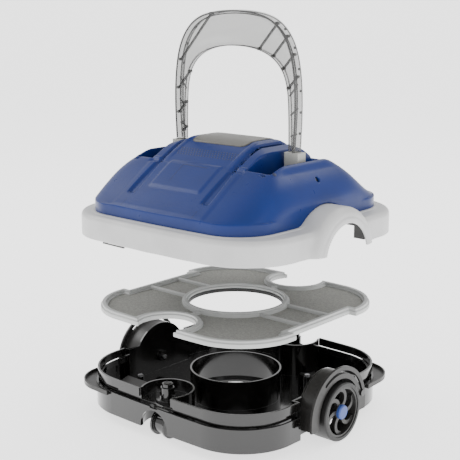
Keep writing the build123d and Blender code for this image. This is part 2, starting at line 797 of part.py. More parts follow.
# ------------------------------------------------------------------ inside the cover
with BuildPart() as inner_chassis:
    with BuildSketch(cover_level(CHASSIS_Z)):
        add(outline(SKIRT_X - WALL - 0.5, SKIRT_Y - WALL - 0.5, SKIRT_BOW, SKIRT_CORNER - WALL))
        Circle(HOUSING_R + 0.3, mode=Mode.SUBTRACT)
        for side in (-1, 1):
            with Locations((side * 160, 0)):
                Rectangle(44, 114, mode=Mode.SUBTRACT)
            with Locations((0, side * POD_Y)):
                Circle(17, mode=Mode.SUBTRACT)
        with PolarLocations(98, 8, start_angle=22.5):
            SlotOverall(26, 3, mode=Mode.SUBTRACT)
    extrude(amount=CHASSIS_T)
    with BuildSketch(cover_level(SKIRT_BOTTOM + 2)):
        for side in (-1, 1):
            with Locations((side * 159, -58.2), (side * 159, 58.2)):
                Rectangle(16, 2.4)
    extrude(amount=CHASSIS_Z + CHASSIS_T - SKIRT_BOTTOM - 2)
save(inner_chassis, "inner_chassis")

with BuildPart() as latch_strip:
    with BuildSketch(cover_level(SKIRT_BOTTOM - 3)):
        add(outline(SKIRT_X - WALL - 0.1, SKIRT_Y - WALL - 0.1, SKIRT_BOW, SKIRT_CORNER - WALL))
        add(
            outline(SKIRT_X - WALL - 2.3, SKIRT_Y - WALL - 2.3, SKIRT_BOW, SKIRT_CORNER - WALL - 2.2),
            mode=Mode.SUBTRACT,
        )
        with Locations((-64, -SKIRT_Y)):
            Rectangle(40, 60, mode=Mode.INTERSECT)
    extrude(amount=14)

with BuildPart() as latch_strips:
    add(latch_strip.part)
    add(turned(latch_strip))
save(latch_strips, "latch_strips")

HOUSING_BOTTOM = 18.0
FLANGE_Z = CHASSIS_Z + CHASSIS_T
FLANGE_R = HOUSING_R + 5
LID_Z = FLANGE_Z + 4

with BuildPart() as motor_housing:
    with BuildSketch(cover_level(HOUSING_BOTTOM)):
        Circle(HOUSING_R)
    extrude(amount=FLANGE_Z + 3 - HOUSING_BOTTOM)
    fillet(motor_housing.faces().sort_by(Axis.Z)[0].edges(), 3)
    with BuildSketch(cover_level(FLANGE_Z)):
        Circle(FLANGE_R)
    extrude(amount=3)
    with BuildSketch(cover_level(HOUSING_BOTTOM + WALL)):
        Circle(HOUSING_R - WALL)
    extrude(amount=80, mode=Mode.SUBTRACT)
save(motor_housing, "motor_housing")

with BuildPart() as housing_seal:
    with BuildSketch(cover_level(FLANGE_Z + 3)):
        Circle(HOUSING_R + 3)
        Circle(HOUSING_R, mode=Mode.SUBTRACT)
    extrude(amount=1)
save(housing_seal, "housing_seal")

with BuildPart() as housing_lid:
    with BuildSketch(cover_level(LID_Z)):
        Circle(FLANGE_R)
        Circle(AXLE_R + RUNNING_GAP, mode=Mode.SUBTRACT)
    extrude(amount=3)
save(housing_lid, "housing_lid")

with BuildPart() as lid_screws:
    with BuildSketch(cover_level(LID_Z + 3)):
        with PolarLocations(FLANGE_R - 4, 4, start_angle=45):
            Circle(2.6)
    extrude(amount=1.8)
save(lid_screws, "lid_screws")

with BuildPart() as battery_pack:
    with BuildSketch(cover_level(HOUSING_BOTTOM + WALL)):
        with PolarLocations(42, 8):
            Circle(9)
    extrude(amount=40)
save(battery_pack, "battery_pack")

with BuildPart() as drive_motor:
    with BuildSketch(cover_level(HOUSING_BOTTOM + WALL)):
        Circle(18)
    extrude(amount=38)
    with BuildSketch(cover_level(HOUSING_BOTTOM + WALL + 38)):
        Circle(7)
    extrude(amount=4)
save(drive_motor, "drive_motor")
motor_top = HOUSING_BOTTOM + WALL + 42

with BuildPart() as circuit_board:
    with BuildSketch(cover_level(HOUSING_BOTTOM + WALL + 40)):
        Circle(50)
        Circle(12, mode=Mode.SUBTRACT)
    extrude(amount=1.6)
save(circuit_board, "circuit_board")

with BuildPart() as motor_shaft:
    with BuildSketch(cover_level(motor_top + 0.3)):
        Circle(AXLE_R)
    extrude(amount=30)
save(motor_shaft, "motor_shaft")

with BuildPart() as impeller:
    with BuildSketch(cover_level(LID_Z + 5)):
        Circle(8)
        with PolarLocations(17, 6):
            Rectangle(24, 2.2, rotation=25)
        Circle(AXLE_R, mode=Mode.SUBTRACT)
    extrude(amount=11)
save(impeller, "impeller")

CASING_Z = LID_Z + 3
with BuildPart() as pump_casing:
    with BuildSketch(cover_level(CASING_Z)):
        Circle(38)
        Circle(35, mode=Mode.SUBTRACT)
    extrude(amount=18)
    with BuildSketch(cover_level(CASING_Z + 18)):
        Circle(38)
        Circle(20, mode=Mode.SUBTRACT)
    extrude(amount=2)
    with Locations((0, 0, CASING_Z + COVER_LIFT + 9)):
        Box(22, 100, 12, mode=Mode.SUBTRACT)
save(pump_casing, "pump_casing")

with BuildPart() as jet_duct:
    with BuildSketch(cover_level(CASING_Z)):
        with Locations((0, -53)):
            RectangleRounded(80, 18, 4)
    extrude(amount=70)
    with BuildSketch(cover_level(CASING_Z + 3)):
        with Locations((0, -53)):
            RectangleRounded(76, 14, 2)
    extrude(amount=90, mode=Mode.SUBTRACT)
    with Locations((0, -42, CASING_Z + COVER_LIFT + 9)):
        Box(26, 6, 16)
        Box(22, 16, 12, mode=Mode.SUBTRACT)
save(jet_duct, "jet_duct")

# ------------------------------------------------------------------ handle
pivot_height = PIVOT_Z + COVER_LIFT
with BuildPart() as pivot_pins:
    with Locations((PIVOT_X, 0, pivot_height), (-PIVOT_X, 0, pivot_height)):
        Cylinder(AXLE_R, 38, rotation=(0, 90, 0))
save(pivot_pins, "pivot_pins")

with BuildPart() as handle_socket:
    with BuildSketch(Plane.YZ.offset(PIVOT_X - 10.5)):
        with Locations((0, pivot_height)):
            Circle(8)
        with Locations((0, (pivot_height + SOCKET_TOP + COVER_LIFT) / 2)):
            Rectangle(16, SOCKET_TOP - PIVOT_Z)
    extrude(amount=21.5)
    with Locations((PIVOT_X, 0, pivot_height)):
        Cylinder(AXLE_R + RUNNING_GAP, 60, rotation=(0, 90, 0), mode=Mode.SUBTRACT)

save(handle_socket, "handle_socket_right")
save_solid(mirror(handle_socket.part, about=Plane.YZ), "handle_socket_left")

foot_z = SOCKET_TOP + COVER_LIFT
top_z = HANDLE_TOP + COVER_LIFT
OUTER_ARCH = ((102, 0), (103.5, 70), (100, 104), (89.5, 137), (66, 162), (32, 172.5), (0, 174.7))
INNER_ARCH = ((89.5, 0), (88.5, 52), (86, 78), (79, 98), (64, 114), (40, 124.5), (0, 129))


def arch(points, inset):
    """A smooth arch through half a set of points, mirrored, moved inwards by inset."""
    right = [(x - inset * x / 102, foot_z + z - inset * (z / 175)) for x, z in points]
    left = [(-x, z) for x, z in right[-2::-1]]
    return right + left


def arch_face(outer, outer_inset, inner, inner_inset):
    """The face between two arches, closed across the feet."""
    over = arch(outer, outer_inset)
    under = arch(inner, inner_inset)
    with BuildSketch() as face:
        with BuildLine():
            Spline(*over)
            Spline(*under)
            Line(over[0], under[0])
            Line(over[-1], under[-1])
        make_face()
    return face.sketch


# each layer: outer curve and its inset, inner curve and its inset, half thickness
ARCH_LAYERS = (
    (OUTER_ARCH, 0, OUTER_ARCH, 3.2, HANDLE_DEPTH / 2),
    (OUTER_ARCH, 1, INNER_ARCH, 1, 1.4),
    (INNER_ARCH, -2.2, INNER_ARCH, 0, 3.2),
)
with BuildPart() as handle_arch:
    for outer, outer_inset, inner, inner_inset, half_depth in ARCH_LAYERS:
        with BuildSketch(Plane.XZ):
            add(arch_face(outer, outer_inset, inner, inner_inset))
        extrude(amount=half_depth, both=True)
save(handle_arch, "handle_arch")
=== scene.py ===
import math

import bpy
import numpy as np
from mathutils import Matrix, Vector


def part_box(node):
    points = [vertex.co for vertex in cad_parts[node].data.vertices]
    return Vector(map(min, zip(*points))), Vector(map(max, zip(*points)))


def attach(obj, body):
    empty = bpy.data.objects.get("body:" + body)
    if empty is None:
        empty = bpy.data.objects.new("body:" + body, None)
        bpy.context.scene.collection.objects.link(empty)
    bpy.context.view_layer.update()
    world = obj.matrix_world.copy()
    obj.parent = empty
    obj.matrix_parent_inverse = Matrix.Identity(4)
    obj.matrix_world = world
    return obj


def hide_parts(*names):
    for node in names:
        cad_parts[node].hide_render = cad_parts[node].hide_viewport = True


# Looks for the pool cleaner.  Shapes are worked out in millimetres above the pool floor, as on
# the assembled cleaner, and each layer is then raised to where the frame holds it.
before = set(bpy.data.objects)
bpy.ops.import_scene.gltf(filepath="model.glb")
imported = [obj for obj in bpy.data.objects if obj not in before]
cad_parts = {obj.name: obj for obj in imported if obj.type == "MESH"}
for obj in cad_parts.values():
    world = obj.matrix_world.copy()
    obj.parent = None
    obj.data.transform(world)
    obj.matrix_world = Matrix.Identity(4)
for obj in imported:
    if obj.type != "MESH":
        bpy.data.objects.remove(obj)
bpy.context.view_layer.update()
MM = 0.001


def mm_box(node):
    """Lowest and highest corner of a CAD node, in millimetres."""
    low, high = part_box(node)
    return np.array(low) / MM, np.array(high) / MM


# ---------------------------------------------------------------- places read from the frame
skirt_low, skirt_high = mm_box("skirt")
shell_high = mm_box("top_shell")[1]
frame_low, frame_high = mm_box("filter_frame")
tyre_low, tyre_high = mm_box("tyre_right")
arch_low, arch_high = mm_box("handle_arch")
plate_low, plate_high = mm_box("label_plate")

SKIRT_LOW = 48.0
FRAME_LOW = 53.3
COVER = skirt_low[2] - SKIRT_LOW
FILTER = frame_low[2] - FRAME_LOW
AXLE_Z = (tyre_low[2] + tyre_high[2]) / 2


# ---------------------------------------------------------------- materials
def node_tree(name):
    """A fresh material with its surface shader, ready for texture nodes."""
    material = bpy.data.materials.new(name)
    material.use_nodes = True
    tree = material.node_tree
    shader = tree.nodes["Principled BSDF"]
    return material, tree, shader


def noise(tree, scale, detail=3.0, roughness=0.5):
    """Noise over the object's own coordinates, in cycles per metre."""
    place = tree.nodes.new("ShaderNodeTexCoord")
    texture = tree.nodes.new("ShaderNodeTexNoise")
    texture.inputs["Scale"].default_value = scale
    texture.inputs["Detail"].default_value = detail
    texture.inputs["Roughness"].default_value = roughness
    tree.links.new(place.outputs["Object"], texture.inputs["Vector"])
    return texture.outputs["Fac"]


def spread(tree, factor, low, high, start=0.3, end=0.7):
    """Map a noise value from start..end to low..high."""
    node = tree.nodes.new("ShaderNodeMapRange")
    node.inputs["From Min"].default_value = start
    node.inputs["From Max"].default_value = end
    node.inputs["To Min"].default_value = low
    node.inputs["To Max"].default_value = high
    tree.links.new(factor, node.inputs["Value"])
    return node.outputs["Result"]


def blend_colour(tree, factor, first, second):
    """Mix two colours, each a colour or a socket, by a socket."""
    mix = tree.nodes.new("ShaderNodeMix")
    mix.data_type = "RGBA"
    tree.links.new(factor, mix.inputs[0])
    for socket, value in ((mix.inputs[6], first), (mix.inputs[7], second)):
        if isinstance(value, tuple):
            socket.default_value = (*value, 1)
        else:
            tree.links.new(value, socket)
    return mix.outputs[2]


def rounded_normal(tree, radius):
    """The surface normal, rounded over edges within radius."""
    bevel = tree.nodes.new("ShaderNodeBevel")
    bevel.samples = 6
    bevel.inputs["Radius"].default_value = radius * MM
    return bevel.outputs["Normal"]


def edge_share(tree, normal):
    """How far a rounded normal has turned from the true one: near 1 on an edge."""
    geometry = tree.nodes.new("ShaderNodeNewGeometry")
    dot = tree.nodes.new("ShaderNodeVectorMath")
    dot.operation = "DOT_PRODUCT"
    tree.links.new(normal, dot.inputs[0])
    tree.links.new(geometry.outputs["Normal"], dot.inputs[1])
    return spread(tree, dot.outputs["Value"], 1, 0, 0.75, 0.99)


def bump(tree, height, distance, strength, normal=None):
    """A bump from a height socket."""
    node = tree.nodes.new("ShaderNodeBump")
    node.inputs["Distance"].default_value = distance * MM
    node.inputs["Strength"].default_value = strength
    tree.links.new(height, node.inputs["Height"])
    if normal is not None:
        tree.links.new(normal, node.inputs["Normal"])
    return node.outputs["Normal"]


def plastic(name, colour, highlight_colour, rough, edge=0.5, grain=900, grain_depth=0.03, coat=0.0):
    """Moulded plastic: faint colour drift, handling marks in the gloss, mould grain, and a painted highlight
    on rounded edges.
    """
    material, tree, shader = node_tree(name)
    drift = spread(tree, noise(tree, 22), 0, 1)
    deeper = tuple(0.86 * c for c in colour)
    body = blend_colour(tree, drift, deeper, colour)
    normal = rounded_normal(tree, edge)
    # Painted highlight: a lighter colour on rounded edges, standing in for light caught there.
    edge_highlight = edge_share(tree, normal)
    tree.links.new(blend_colour(tree, edge_highlight, body, highlight_colour), shader.inputs["Base Color"])
    marks = spread(tree, noise(tree, 75, 5, 0.65), rough - 0.03, rough + 0.06)
    tree.links.new(marks, shader.inputs["Roughness"])
    fine = bump(tree, noise(tree, grain, 2), grain_depth, 0.5, normal)
    tree.links.new(fine, shader.inputs["Normal"])
    shader.inputs["Coat Weight"].default_value = coat
    shader.inputs["Coat Roughness"].default_value = 0.08
    return material


def metal(name, colour, rough):
    """Turned or brushed metal with fine scratches."""
    material, tree, shader = node_tree(name)
    shader.inputs["Metallic"].default_value = 1.0
    tone = spread(tree, noise(tree, 160, 4), 0, 1)
    deeper = tuple(0.8 * c for c in colour)
    tree.links.new(blend_colour(tree, tone, deeper, colour), shader.inputs["Base Color"])
    tree.links.new(spread(tree, noise(tree, 420, 4), rough - 0.06, rough + 0.1), shader.inputs["Roughness"])
    fine = bump(tree, noise(tree, 2200, 2), 0.02, 0.4, rounded_normal(tree, 0.3))
    tree.links.new(fine, shader.inputs["Normal"])
    return material


def woven(name, light, dark):
    """Fine filter cloth: crossed threads and a mottled felt tone."""
    material, tree, shader = node_tree(name)
    place = tree.nodes.new("ShaderNodeTexCoord")
    threads = []
    for direction in ("X", "Y"):
        wave = tree.nodes.new("ShaderNodeTexWave")
        wave.bands_direction = direction
        wave.inputs["Scale"].default_value = 230
        wave.inputs["Distortion"].default_value = 0.6
        wave.inputs["Detail"].default_value = 1.0
        tree.links.new(place.outputs["Object"], wave.inputs["Vector"])
        threads.append(wave.outputs["Fac"])
    weave = tree.nodes.new("ShaderNodeMath")
    weave.operation = "MAXIMUM"
    tree.links.new(threads[0], weave.inputs[0])
    tree.links.new(threads[1], weave.inputs[1])
    mottle = spread(tree, noise(tree, 330, 4, 0.7), 0, 1, 0.35, 0.65)
    soft = blend_colour(tree, mottle, dark, light)
    pits = spread(tree, weave.outputs["Value"], 0.55, 0, 0.1, 0.6)
    tree.links.new(blend_colour(tree, pits, soft, tuple(0.5 * c for c in dark)), shader.inputs["Base Color"])
    shader.inputs["Roughness"].default_value = 0.9
    shader.inputs["Sheen Weight"].default_value = 0.25
    tree.links.new(bump(tree, weave.outputs["Value"], 0.25, 0.8), shader.inputs["Normal"])
    return material


def smoky(name, colour, see, rough):
    """Clear smoke-grey plastic: mostly light passing straight through, greyer where it is doubled."""
    material, tree, shader = node_tree(name)
    drift = spread(tree, noise(tree, 40), 0, 1)
    deeper = tuple(0.9 * c for c in colour)
    tree.links.new(blend_colour(tree, drift, deeper, colour), shader.inputs["Base Color"])
    tree.links.new(spread(tree, noise(tree, 90, 4), rough, rough + 0.08), shader.inputs["Roughness"])
    tree.links.new(bump(tree, noise(tree, 300), 0.03, 0.3), shader.inputs["Normal"])
    clear = tree.nodes.new("ShaderNodeBsdfTransparent")
    clear.inputs["Color"].default_value = (see, see, see * 0.995, 1)
    mix = tree.nodes.new("ShaderNodeMixShader")
    mix.inputs["Fac"].default_value = 0.34
    tree.links.new(clear.outputs["BSDF"], mix.inputs[1])
    tree.links.new(shader.outputs["BSDF"], mix.inputs[2])
    tree.links.new(mix.outputs["Shader"], tree.nodes["Material Output"].inputs["Surface"])
    return material


# The second colour of each plastic is the painted highlight laid on its edges.
BLUE = plastic("blue_gloss", (0.0060, 0.024, 0.150), (0.03, 0.08, 0.32), 0.30, 0.8, 700, 0.02, 0.0)
BLUE.node_tree.nodes["Principled BSDF"].inputs["Specular IOR Level"].default_value = 0.24
# Painted shade: a dark blue laid as strips and discs where the dome's creases, edge lines and vent holes
# fall into shade.
BLUE_SHADE = plastic("blue_painted_shade", (0.003, 0.010, 0.055), (0.01, 0.03, 0.1), 0.4, 0.4)
WHITE = plastic("white_satin", (0.60, 0.60, 0.60), (0.76, 0.76, 0.76), 0.36, 0.9, 1100, 0.02)
GREY = plastic("filter_grey", (0.56, 0.57, 0.56), (0.74, 0.75, 0.74), 0.45, 0.5, 1200, 0.03)
BLACK = plastic("tray_black", (0.0045, 0.0042, 0.0040), (0.09, 0.09, 0.09), 0.13, 0.55, 800, 0.012, 0.5)
SATIN = plastic("satin_black", (0.020, 0.019, 0.018), (0.10, 0.10, 0.10), 0.33, 0.45, 1300, 0.03)
RUBBER = plastic("tyre_black", (0.0090, 0.0088, 0.0085), (0.03, 0.03, 0.03), 0.42, 0.5, 1500, 0.05)
SEAL = plastic("seal_rubber", (0.03, 0.03, 0.03), (0.06, 0.06, 0.06), 0.6, 0.3, 1600, 0.05)
CAP_BLUE = plastic("hub_blue", (0.045, 0.09, 0.33), (0.14, 0.22, 0.5), 0.3, 0.5)
TAUPE = plastic("taupe_plate", (0.120, 0.115, 0.103), (0.24, 0.23, 0.21), 0.34, 0.3, 1500, 0.02, 0.1)
PALE = plastic("pale_plastic", (0.72, 0.73, 0.74), (0.85, 0.85, 0.85), 0.35, 0.4)
CONNECTOR = plastic("connector_grey", (0.42, 0.42, 0.39), (0.62, 0.62, 0.60), 0.38, 0.6)
LINE = plastic("handle_line", (0.035, 0.034, 0.032), (0.10, 0.10, 0.10), 0.3, 0.2)
CELL = plastic("cell_wrap", (0.03, 0.20, 0.12), (0.1, 0.3, 0.2), 0.3, 0.3)
BOARD = plastic("board_green", (0.01, 0.12, 0.05), (0.05, 0.2, 0.1), 0.4, 0.2)
STEEL = metal("steel", (0.62, 0.62, 0.64), 0.28)
CLOTH = woven("filter_cloth", (0.36, 0.36, 0.325), (0.20, 0.20, 0.18))
SMOKE = smoky("smoke_clear", (0.16, 0.16, 0.16), 0.84, 0.10)
SMOKE_RIB = smoky("smoke_rib", (0.06, 0.06, 0.06), 0.50, 0.15)


def dress(node, material):
    """Give a CAD node its material."""
    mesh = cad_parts[node].data
    mesh.materials.clear()
    mesh.materials.append(material)


# ---------------------------------------------------------------- shape tools
def mesh_piece(name, points, faces, material, body, lift=0.0, smooth=True):
    """A mesh from points in millimetres, riding on a body."""
    mesh = bpy.data.meshes.new(name)
    raised = np.array(points, float)
    raised[:, 2] += lift
    mesh.from_pydata((raised * MM).tolist(), [], faces if isinstance(faces, list) else faces.tolist())
    mesh.update()
    mesh.validate()
    if smooth:
        mesh.polygons.foreach_set("use_smooth", [True] * len(mesh.polygons))
    piece = bpy.data.objects.new(name, mesh)
    bpy.context.scene.collection.objects.link(piece)
    mesh.materials.append(material)
    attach(piece, body)
    return piece


def polygonise(field, low, high, step):
    """Points and quads of the surface where field(x, y, z) is zero; the field is negative inside."""
    axes = [np.arange(a - 1.5 * step, b + 2.5 * step, step) for a, b in zip(low, high)]
    shape = tuple(len(a) for a in axes)
    values = np.empty(shape, np.float32)
    for index in range(shape[0]):
        y, z = np.meshgrid(axes[1], axes[2], indexing="ij")
        values[index] = field(np.full_like(y, axes[0][index]), y, z)
    inside = values < 0
    cells = tuple(n - 1 for n in shape)
    total = np.zeros(cells + (3,), np.float32)
    count = np.zeros(cells, np.float32)
    base = np.stack(np.meshgrid(*[np.arange(n) for n in cells], indexing="ij"), -1).astype(np.float32)

    def corner(array, offset):
        return array[tuple(slice(o, o + n) for o, n in zip(offset, cells))]

    for axis in range(3):
        others = [a for a in range(3) if a != axis]
        for u in (0, 1):
            for v in (0, 1):
                start = [0, 0, 0]
                start[others[0]], start[others[1]] = u, v
                end = list(start)
                end[axis] = 1
                f0, f1 = corner(values, start), corner(values, end)
                cross = (f0 < 0) != (f1 < 0)
                share = np.where(cross, f0 / np.where(cross, f0 - f1, 1), 0)
                point = base + np.array(start, np.float32)
                point[..., axis] += share
                total += point * cross[..., None]
                count += cross
    used = count > 0
    number = np.full(cells, -1, np.int64)
    number[used] = np.arange(int(used.sum()))
    points = total[used] / count[used][:, None]
    start = np.array([a[0] for a in axes])
    points = points * step + start
    cell_low = base[used] * step + start
    quads = []
    for axis in range(3):
        u, v = [a for a in range(3) if a != axis]
        first = [slice(1, -1)] * 3
        first[axis] = slice(0, -1)
        second = [slice(1, -1)] * 3
        second[axis] = slice(1, None)
        here, there = inside[tuple(first)], inside[tuple(second)]
        change = np.argwhere(here != there)
        flip = here[here != there]
        change[:, u] += 1
        change[:, v] += 1
        ring = []
        for du, dv in ((0, 0), (-1, 0), (-1, -1), (0, -1)):
            cell = change.copy()
            cell[:, u] += du
            cell[:, v] += dv
            ring.append(number[cell[:, 0], cell[:, 1], cell[:, 2]])
        quad = np.stack(ring, 1)
        backward = flip if axis == 1 else ~flip
        quad[backward] = quad[backward][:, ::-1]
        quads.append(quad)
    for _ in range(4):
        value = field(*points.T)
        delta = 0.05 * step
        changes = [field(*(points + delta * e).T) - field(*(points - delta * e).T) for e in np.eye(3)]
        slope = np.stack([change / (2 * delta) for change in changes], 1)
        size = np.maximum((slope**2).sum(1), 1e-6)
        move = -(value / size)[:, None] * slope
        length = np.linalg.norm(move, axis=1, keepdims=True)
        points = points + 0.8 * move * np.minimum(1, 0.35 * step / np.maximum(length, 1e-9))
        points = np.clip(points, cell_low + 0.03 * step, cell_low + 0.97 * step)
    return points, np.concatenate(quads)


def outline_distance(x, y, half_x, half_y, bow, corner):
    """Distance outside a square with bowed sides and round corners."""
    across = np.abs(x) + bow * (y / half_y) ** 2 - (half_x - corner)
    along = np.abs(y) + bow * (x / half_x) ** 2 - (half_y - corner)
    outside = np.hypot(np.maximum(across, 0), np.maximum(along, 0))
    return outside + np.minimum(np.maximum(across, along), 0) - corner


def rounded_meet(first, second, radius):
    """The space inside both fields, with the edge between them rounded."""
    a, b = first + radius, second + radius
    return np.hypot(np.maximum(a, 0), np.maximum(b, 0)) + np.minimum(np.maximum(a, b), 0) - radius


def soft_join(first, second, reach):
    """The space inside either field, with a soft fillet between them."""
    share = np.clip(0.5 + 0.5 * (second - first) / reach, 0, 1)
    return second * (1 - share) + first * share - reach * share * (1 - share)


def soft_cut(first, second, reach):
    """The first field without the second, with a softened edge."""
    return -soft_join(-first, second, reach)


def ease(value, low, high):
    """0 below low, 1 above high, smooth between."""
    share = np.clip((value - low) / (high - low), 0, 1)
    return share * share * (3 - 2 * share)


# ---------------------------------------------------------------- blue dome
DOME_Y = shell_high[1]
DOME_X = DOME_Y - 8.0
DOME_BOW = 5.0
DOME_CORNER = 50.0
BAND_TOP = 95.0
BAND_LOW = 79.0
RISE = 83.0
SIDE_FALL = (1.8, 0.426)
FRONT_FALL = (1.5, 1.13)
REAR_FALL = (1.5, 1.563)
OUTLINE_POWER = 5.9
SPINE_HALF = 50.0
SPINE_KEPT = 0.45
SKIN = 3.0
FOOT_X = 97.5
FOOT_HALF = 17.0
FOOT_FLOOR = 121.0
PIVOT_Z = 131.0
PIVOT_R = 3.3
HUMP_R = 63.5
PAD_X = 24.0
PAD_R = 12.5
WELL_R = 8.2
SOCKET_R = 8.0
REAR_TILT = math.radians(34)
REAR_Y = 88.0
socket_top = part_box("charge_socket")[1][2] / MM - COVER
REAR_Z = socket_top - SOCKET_R * math.sin(REAR_TILT) - math.cos(REAR_TILT) + 0.5


def dome_fall(share, power, shape):
    """How much of the rise is lost at a share of the way out to the rim."""
    return 1 - np.maximum(1 - share**power, 0) ** shape


def plain_height(x, y):
    """Height of the plain dome: steep at the sides, gently sloped in front and behind."""
    u, v = np.minimum(np.abs(x) / DOME_X, 0.999), np.minimum(np.abs(y) / DOME_Y, 0.999)
    across = np.minimum(u / (1 - v**OUTLINE_POWER) ** (1 / OUTLINE_POWER), 1)
    along = np.minimum(v / (1 - u**OUTLINE_POWER) ** (1 / OUTLINE_POWER), 1)
    side_loss = dome_fall(across, *SIDE_FALL)
    end_loss = np.where(y < 0, dome_fall(along, *FRONT_FALL), dome_fall(along, *REAR_FALL))
    return BAND_TOP + RISE * (1 - np.minimum((side_loss**6 + end_loss**6) ** (1 / 6), 1))


def dome_rim(x, y):
    """Distance outside the dome's upright band."""
    return outline_distance(x, y, DOME_X, DOME_Y, DOME_BOW, DOME_CORNER)


def dome_height(x, y):
    """Height of the dome above the floor, flatter along its spine, and how its slope shortens distances."""
    spine = np.abs(x) <= SPINE_HALF
    height = plain_height(x, y)
    edge = plain_height(np.full_like(x, SPINE_HALF), y)
    height = np.where(spine, edge + SPINE_KEPT * (height - edge), height)
    slope_x = (plain_height(x + 0.5, y) - plain_height(x - 0.5, y)) * np.where(spine, SPINE_KEPT, 1)
    slope_y = plain_height(x, y + 0.5) - plain_height(x, y - 0.5)
    return height, 1 / np.sqrt(1 + np.minimum(slope_x**2 + slope_y**2, 9))


def band(value, centre, half, soft):
    """1 within half of centre, falling to 0 over soft."""
    return 1 - ease(np.abs(value - centre), half - soft / 2, half + soft / 2)


def between(value, low, high, soft):
    """1 from low to high, with soft ends."""
    return ease(value, low - soft / 2, low + soft / 2) * (1 - ease(value, high - soft / 2, high + soft / 2))


GROOVE_SOFT = 3.4


def dome_relief(x, y):
    """Grooves and panels of the dome: how far its surface stands above the plain one."""
    side = np.abs(x)
    widen = 3.4 + 2.4 * ease(-y, 70, 125)
    long_groove = 3.8 * band(side, 63, widen, GROOVE_SOFT) * between(y, -130, 112, 5)
    cross_groove = 2.0 * band(y, -78, 3.0, GROOVE_SOFT) * between(side, 58, 80, 6)
    side_groove = 3.8 * band(side, 107, 3.4, GROOVE_SOFT) * between(y, -77, 60, 4)
    rear_groove = 3.0 * band(y, 60, 3.2, GROOVE_SOFT) * between(side, 64, 109, 4)
    grooves = np.maximum(np.maximum(long_groove, cross_groove), np.maximum(side_groove, rear_groove))
    shelf = 1.2 * between(side, 67, 105, 3) * between(y, -71, 57, 3)
    panel = 1.3 * (1 - ease(side, 40, 46)) * between(y, -118, -76, 5)
    spine = 0.9 * band(side, 54, 3.5, 4) * ease(y, -80, -60)
    flank = 0.9 * (1 - ease(side, 74, 82)) * between(y, -151, -80, 6)
    rim = 4.0 * between(side, 111, 121, 7) * between(y, -55, 48, 30)
    return panel + spine + flank + rim - grooves - shelf


def foot_slot(x, y, z, grow):
    """The handle foot's recess: a sloping floor in front, a deep slot and a shelf behind."""
    wide = np.abs(np.abs(x) - FOOT_X) - FOOT_HALF
    slot = np.maximum(np.abs(y + 12) - 26, FOOT_FLOOR - z)
    slope = np.maximum(np.maximum(-80 - y, y), 0.952 * (147.5 - 0.32 * (y + 80) - z))
    shelf = np.maximum(np.maximum(y - 62, -10 - y), 138 + 0.083 * (y - 14) - z)
    return np.maximum(wide, np.minimum(slot, np.minimum(slope, shelf))) - grow


def hump_drum(x, y, z, radius):
    """Space round each wheel's axle, in the cover's own place."""
    return np.hypot(y, z - AXLE_Z) - radius


def from_pad_axis(x, y, z):
    """Distance from the axis of the nearer boss on the rear slope."""
    along = (y - REAR_Y) * math.cos(REAR_TILT) - (z - REAR_Z) * math.sin(REAR_TILT)
    return np.hypot(np.abs(x) - PAD_X, along)


def rear_pads(x, y, z):
    """Two round bosses on the rear slope, for the button and the charge socket."""
    above = (y - REAR_Y) * math.sin(REAR_TILT) + (z - REAR_Z) * math.cos(REAR_TILT)
    return rounded_meet(from_pad_axis(x, y, z) - PAD_R, np.maximum(above, -above - 12), 1.2)


def dome_field(x, y, z):
    """The blue shell as a field, negative inside the plastic."""
    height, flat = dome_height(x, y)
    rim = dome_rim(x, y)
    top = (z - height - dome_relief(x, y)) * flat
    outer = rounded_meet(top, rim, 0.8)
    outer = soft_join(outer, rear_pads(x, y, z), 3)
    outer = soft_cut(outer, foot_slot(x, y, z, 0), 1.6)
    inner = np.maximum((z - height) * flat + SKIN + 1.2, rim + SKIN)
    inner = np.maximum(inner, -foot_slot(x, y, z, 2.2))
    shell = np.maximum(outer, -inner)
    shell = np.maximum(shell, BAND_LOW + 0.4 - z)
    notch = np.maximum(hump_drum(x, y, z, HUMP_R + 0.3), 134 - np.abs(x))
    bore = np.hypot(y, z - PIVOT_Z) - PIVOT_R
    wells = np.maximum(from_pad_axis(x, y, z) - WELL_R, 30 - y)
    cuts = np.minimum(np.minimum(notch, np.maximum(bore, 75 - np.abs(x))), wells)
    return np.maximum(shell, -cuts)


DOME_STEP = 1.25
dome_points, dome_faces = polygonise(
    dome_field, (-DOME_X, -DOME_Y, BAND_LOW), (DOME_X, DOME_Y, BAND_TOP + RISE + 2), DOME_STEP
)
dome = mesh_piece("dome_shell", dome_points, dome_faces, BLUE, "cover", COVER)
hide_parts("top_shell")


def surface(x, y, above):
    """A point that stands above the finished dome."""
    height, _ = dome_height(np.array([float(x)]), np.array([float(y)]))
    relief = dome_relief(np.array([float(x)]), np.array([float(y)]))
    return (x, y, float(height[0] + relief[0]) + above)


def laid_strip(name, corners, width, above, material):
    """A thin strip that follows the dome along straight runs between corners."""
    points, faces = [], []
    for (x0, y0), (x1, y1) in zip(corners, corners[1:]):
        length = math.hypot(x1 - x0, y1 - y0)
        side_x, side_y = -(y1 - y0) / length * width / 2, (x1 - x0) / length * width / 2
        count = max(2, int(length / 2))
        first = len(points)
        for index in range(count + 1):
            share = index / count
            x, y = x0 + (x1 - x0) * share, y0 + (y1 - y0) * share
            points.append(surface(x + side_x, y + side_y, above - 0.5))
            points.append(surface(x, y, above))
            points.append(surface(x - side_x, y - side_y, above - 0.5))
        for index in range(count):
            a = first + 3 * index
            faces.append((a, a + 1, a + 4, a + 3))
            faces.append((a + 1, a + 2, a + 5, a + 4))
    return mesh_piece(name, points, faces, material, "cover", COVER)


# Painted shade: dark strips for the front panel's edge line and two short creases.
laid_strip("front_line", ((-17, -108), (-17, -82), (24, -83)), 1.3, 0.28, BLUE_SHADE)
for hand in (-1, 1):
    crease = ((hand * 61, -141), (hand * 61, -151.5))
    laid_strip(f"edge_crease_{hand + 1}", crease, 1.1, 0.25, BLUE_SHADE)


